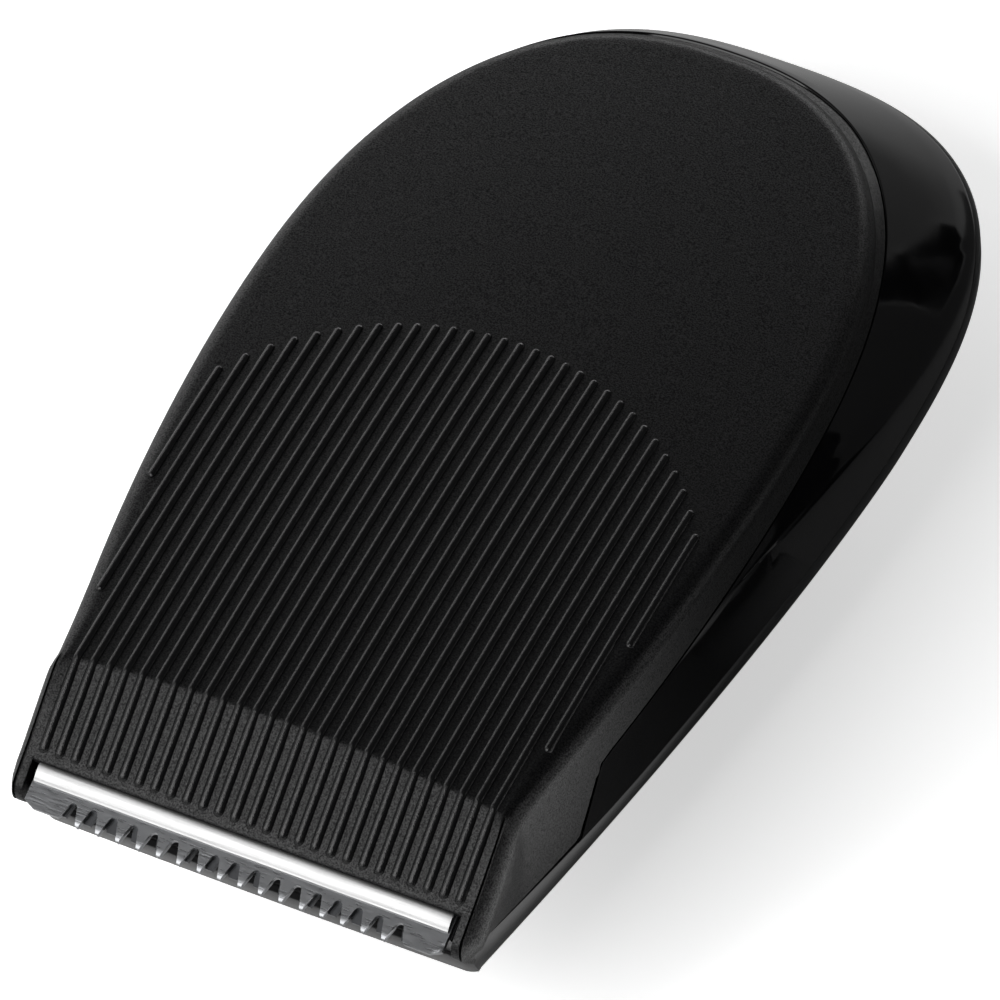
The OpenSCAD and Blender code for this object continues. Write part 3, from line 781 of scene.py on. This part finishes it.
# Ground stainless steel: mid grey with a dull shine, and fine grinding lines
# along the strip, drawn at 0.1 mm so that they show.
ground_steel, tree, shader = new_material(
    "ground stainless steel", Base_Color=linear("#838486"), Metallic=1, Roughness=0.3)
place_node = add(tree, "TexCoord")
along = add(tree, "Mapping", inputs={"Scale": (900, 9000, 9000)},
            links={"Vector": (place_node, "Object")})
lines = add(tree, "TexNoise", inputs={"Scale": 1, "Detail": 2}, links={"Vector": (along, "Vector")})
polish = add(tree, "MapRange", inputs={"From Min": 0.3, "From Max": 0.7, "To Min": 0.26, "To Max": 0.34},
             links={"Value": (lines, "Fac")})
tree.links.new(polish.outputs["Result"], shader.inputs["Roughness"])
bump = add(tree, "Bump", inputs={"Strength": 0.35, "Distance": 0.00002},
           links={"Height": (lines, "Fac")})
tree.links.new(bump.outputs["Normal"], shader.inputs["Normal"])

thick = bmesh.ops.extrude_face_region(bm, geom=bm.faces[:])["geom"]
bmesh.ops.translate(bm, vec=(0, sin(tilt) * guard_t, -cos(tilt) * guard_t),
                    verts=[g for g in thick if isinstance(g, bmesh.types.BMVert)])
piece("guard", bm, ground_steel, "head", ["blade_guard"], crisp=28)

# ---- blade bar --------------------------------------------------------------
# The bright rounded bar across the guard, which spreads the pressure on the
# skin: cold-drawn stainless, brushed along its length.
bar_half_w = 15.2
bar_front, bar_ridge, bar_back = 1.72, 2.8, 3.04
bar_r = 1.75
bar_h = 0.5
bar_back_h = 0.2
bar_edge_r = 0.08
bar_end_r = 0.12


def bar_w(u):
    """Height of the bar's face: one broad arc to the front and a tight one behind."""
    if u <= bar_ridge:
        return bar_h - bar_r + sqrt(bar_r ** 2 - (u - bar_ridge) ** 2)
    back_r = bar_back - bar_ridge
    return bar_h - bar_back_h + bar_back_h * sqrt(max(0, 1 - ((u - bar_ridge) / back_r) ** 2))


def bar_place(i, j):
    """The bar's face, with a soft front edge, upright feet and two rounded ends."""
    from_end = min(1, min(i, 39 - i) / 4)
    size = sqrt(max(0, 1 - (1 - from_end) ** 2))
    if from_end < 1:
        side = -1 if i < 20 else 1
        x = side * (bar_half_w - bar_end_r * (1 - size))
    else:
        x = mix(-1, 1, (i - 4) / 31) * (bar_half_w - bar_end_r)
    if j < 4:
        a = pi / 2 * j / 3
        u = bar_front + bar_edge_r * (1 - cos(a))
        w = bar_w(bar_front + bar_edge_r) - bar_edge_r * (1 - sin(a)) if j else 0
    elif j < 14:
        u = mix(bar_front + bar_edge_r, bar_ridge, (j - 3) / 10)
        w = bar_w(u)
    else:
        u = bar_ridge + (bar_back - bar_ridge) * sin(pi / 2 * min(1, (j - 13) / 5))
        w = bar_w(u) if j < 19 else 0
    return on_blade(x, u, mix(0.0, w, size))


# Brushed bright steel: a pale metal that runs from bright on its crown to dark
# behind it, with hairlines along its length, drawn at 0.1 mm so that they show.
drawn_steel, tree, shader = new_material(
    "brushed bright steel", Base_Color=linear("#9c9c9c"), Metallic=1, Roughness=0.4)
place_node = add(tree, "TexCoord")
along = add(tree, "Mapping", inputs={"Scale": (250, 12000, 12000)},
            links={"Vector": (place_node, "Object")})
lines = add(tree, "TexNoise", inputs={"Scale": 1, "Detail": 3}, links={"Vector": (along, "Vector")})
polish = add(tree, "MapRange", inputs={"From Min": 0.3, "From Max": 0.7, "To Min": 0.36, "To Max": 0.46},
             links={"Value": (lines, "Fac")})
tree.links.new(polish.outputs["Result"], shader.inputs["Roughness"])
bump = add(tree, "Bump", inputs={"Strength": 0.25, "Distance": 0.00002},
           links={"Height": (lines, "Fac")})
tree.links.new(bump.outputs["Normal"], shader.inputs["Normal"])
bm = shaped_grid(40, 20, bar_place)
piece("bar", bm, drawn_steel, "head", ["blade_bar"], crisp=60)

# ---- drive and fixings ------------------------------------------------------
# The parts inside and below keep their CAD shapes: mouldings of acetal and
# ABS, turned and spring steel parts, sintered bushes, rubber seals and screws.

# Acetal is a waxy off-white, nitrile rubber a dull black, sintered bronze a
# yellow brown, turned and spring steel bright, blackened steel dark. The steel
# of the moving cutter is painted darker than the guard: painted shade for where
# it lies under the guard and shows between its teeth.
# All have a faint unevenness about 0.4 mm across.
plain = {}
for name, colour, metal, rough in (
        ("natural acetal", "#d9d4c6", 0, 0.4), ("nitrile rubber", "#1b1b1c", 0, 0.6),
        ("sintered bronze", "#b98a54", 1, 0.45), ("turned steel", "#bdbec0", 1, 0.3),
        ("spring steel", "#a9abad", 1, 0.32), ("blackened steel", "#2c2d2f", 1, 0.4),
        ("blade steel with painted shade", "#4b4c4e", 1, 0.42)):
    material, tree, shader = new_material(name, Base_Color=linear(colour), Metallic=metal, Roughness=rough)
    place_node = add(tree, "TexCoord")
    marks = add(tree, "TexNoise", inputs={"Scale": 2500, "Detail": 2},
                links={"Vector": (place_node, "Object")})
    bump = add(tree, "Bump", inputs={"Strength": 0.2, "Distance": 0.00003},
               links={"Height": (marks, "Fac")})
    tree.links.new(bump.outputs["Normal"], shader.inputs["Normal"])
    plain[name] = material

finish = {
    "neck_collar": satin_abs, "cutter_carrier": satin_abs, "blade_frame": satin_abs,
    "click_ring": plain["spring steel"], "spindle_housing": plain["natural acetal"],
    "lower_bush": plain["sintered bronze"], "upper_bush": plain["sintered bronze"],
    "spindle_seal": plain["nitrile rubber"], "drive_spindle": plain["turned steel"],
    "drive_pin": plain["turned steel"], "drive_coupling": plain["natural acetal"],
    "coupling_spring": plain["spring steel"], "eccentric": plain["turned steel"],
    "thrust_washer": plain["natural acetal"], "rocker_lever": plain["natural acetal"],
    "lever_bush": plain["sintered bronze"], "pivot_pin": plain["turned steel"],
    # The moving cutter's steel is painted darker, as painted shade under the guard.
    "pivot_clip": plain["blackened steel"], "moving_cutter": plain["blade steel with painted shade"],
    "pressure_spring": plain["spring steel"], "hair_seal": plain["nitrile rubber"],
    "blade_screws": plain["turned steel"], "cover_screws": plain["blackened steel"],
    "collar_screws": plain["blackened steel"]}
for node, material in finish.items():
    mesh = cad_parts[node].data
    mesh.materials.clear()
    mesh.materials.append(material)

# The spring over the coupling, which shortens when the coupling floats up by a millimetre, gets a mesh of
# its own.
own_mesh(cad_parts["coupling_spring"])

# ---- floor and light --------------------------------------------------------
# A plain pale floor that the head stands on with its collar, a large softbox
# in front, weaker ones round the sides and the back, and a dim room.
floor_size = 1.5
floor_z = cad_box[0][2]
bm = bmesh.new()
bmesh.ops.create_grid(bm, x_segments=1, y_segments=1, size=floor_size)
bmesh.ops.translate(bm, vec=(0, 0, floor_z), verts=bm.verts)
mesh = bpy.data.meshes.new("floor")
bm.to_mesh(mesh)
bm.free()

# Matt white paint, lifted towards white for the camera alone: it keeps the
# shadow of the head and adds no light to it.
floor_paint, tree, shader = new_material("white floor paint", Base_Color=linear("#fcfcfc"), Roughness=0.9)
path = add(tree, "LightPath")
lift = add(tree, "Math", {"operation": "MULTIPLY"}, {1: 0.55}, {0: (path, "Is Camera Ray")})
shader.inputs["Emission Color"].default_value = (1, 1, 1, 1)
tree.links.new(lift.outputs["Value"], shader.inputs["Emission Strength"])
mesh.materials.append(floor_paint)
floor = bpy.data.objects.new("floor", mesh)
bpy.context.scene.collection.objects.link(floor)


def softbox(name, direction, distance, width, height, radiance):
    """A rectangular lamp that faces the middle of the head from a direction, in metres."""
    light = bpy.data.lights.new(name, "AREA")
    light.shape = "RECTANGLE"
    light.size, light.size_y = width, height
    light.energy = radiance * pi * width * height
    obj = bpy.data.objects.new(name, light)
    bpy.context.scene.collection.objects.link(obj)
    toward = Vector(direction).normalized()
    obj.location = Vector((0, -0.012, 0.005)) + toward * distance
    obj.rotation_euler = toward.to_track_quat("Z", "Y").to_euler()


softbox("key", (-0.34, -0.72, 0.60), 0.6, 0.48, 0.48, 4.8)
softbox("left", (-0.86, -0.12, 0.50), 0.6, 0.5, 0.5, 0.5)
softbox("rear left", (-0.84, 0.46, 0.26), 0.6, 0.55, 0.55, 1.6)
softbox("right", (0.95, 0.26, 0.13), 0.6, 0.2, 0.2, 2)
softbox("rear", (-0.2, 0.97, 0.2), 0.9, 0.8, 0.24, 4)

# Glowing sheets just above the floor beside the head, which only its reflections
# see. They are no lamps but a painted reflection of a bright floor and room in
# the glossy black plastic, and the black ones paint a dark reflection there.
# Their ramps paint the shade of the floor near the head into that reflection.
# Each has two corners, and is as bright as its level times its ramps; a ramp is a
# direction, its start and end along it in millimetres, the share left at its
# start, and a power. They lie one on the other in this order.
card_step = 0.00005
for layer, (name, low, high, level, *ramps) in enumerate((
        ("rear_reflection_glow", (-60, 29), (140, 140), 0.27, ((0, -1), -72, -60, 0.5, 1)),
        ("side_reflection_glow", (20, -5), (140, 55), 0.06),
        ("white_reflection_glow", (18, -80), (140, -5), 2.0,
         ((1, -0.33), 36.2, 40.2, 0.03, 1), ((0, -1), 3, 32, 0.05, 2)),
        ("low_side_reflection_glow", (18, -16), (31, -5), 0.06,
         ((0, 1), -16, -5, 0.24, 1), ((-1, 0), -31, -27, 0.06, 1)),
        ("black_reflection_sheet", (41, 3), (140, 17), 0.0),
        ("small_black_reflection_sheet", (33, 55), (140, 66.5), 0.0))):
    bm = bmesh.new()
    bmesh.ops.create_grid(bm, x_segments=1, y_segments=1, size=0.0005)
    bmesh.ops.scale(bm, vec=(high[0] - low[0], high[1] - low[1], 1), verts=bm.verts)
    bmesh.ops.translate(bm, verts=bm.verts, vec=(
        (low[0] + high[0]) / 2000, (low[1] + high[1]) / 2000, floor_z + (4 + layer) * card_step))
    mesh = bpy.data.meshes.new(name)
    bm.to_mesh(mesh)
    bm.free()
    # Black, and glowing at the sheet's level: a painted reflection, not a lamp.
    painted_reflection, tree, shader = new_material(
        name, Base_Color=(0, 0, 0, 1), Roughness=1, Specular_IOR_Level=0)
    shader.inputs["Emission Color"].default_value = (1, 1, 1, 1)
    place_node = add(tree, "TexCoord")
    bright = add(tree, "Value")
    bright.outputs[0].default_value = level
    for (ax, ay), start, end, least, power in ramps:
        run = add(tree, "VectorMath", {"operation": "DOT_PRODUCT"}, {1: (ax * 1000, ay * 1000, 0)},
                  {0: (place_node, "Object")})
        share = add(tree, "MapRange", inputs={"From Min": start, "From Max": end},
                    links={"Value": (run, "Value")})
        curve = add(tree, "Math", {"operation": "POWER"}, {1: power}, {0: (share, "Result")})
        floor_share = add(tree, "MapRange", inputs={"To Min": least}, links={"Value": (curve, "Value")})
        bright = add(tree, "Math", {"operation": "MULTIPLY"},
                     links={0: (bright, 0), 1: (floor_share, "Result")})
    tree.links.new(bright.outputs[0], shader.inputs["Emission Strength"])
    mesh.materials.append(painted_reflection)
    card = bpy.data.objects.new(name, mesh)
    bpy.context.scene.collection.objects.link(card)
    # Hidden from the camera, from diffuse light and from shadows, so that only reflections show the painted
    # glow.
    card.visible_camera = card.visible_diffuse = card.visible_shadow = False

world = bpy.data.worlds.new("studio")
bpy.context.scene.world = world
world.use_nodes = True
world.node_tree.nodes["Background"].inputs["Color"].default_value = (0.07, 0.07, 0.07, 1)

bpy.context.scene.view_settings.view_transform = "Standard"
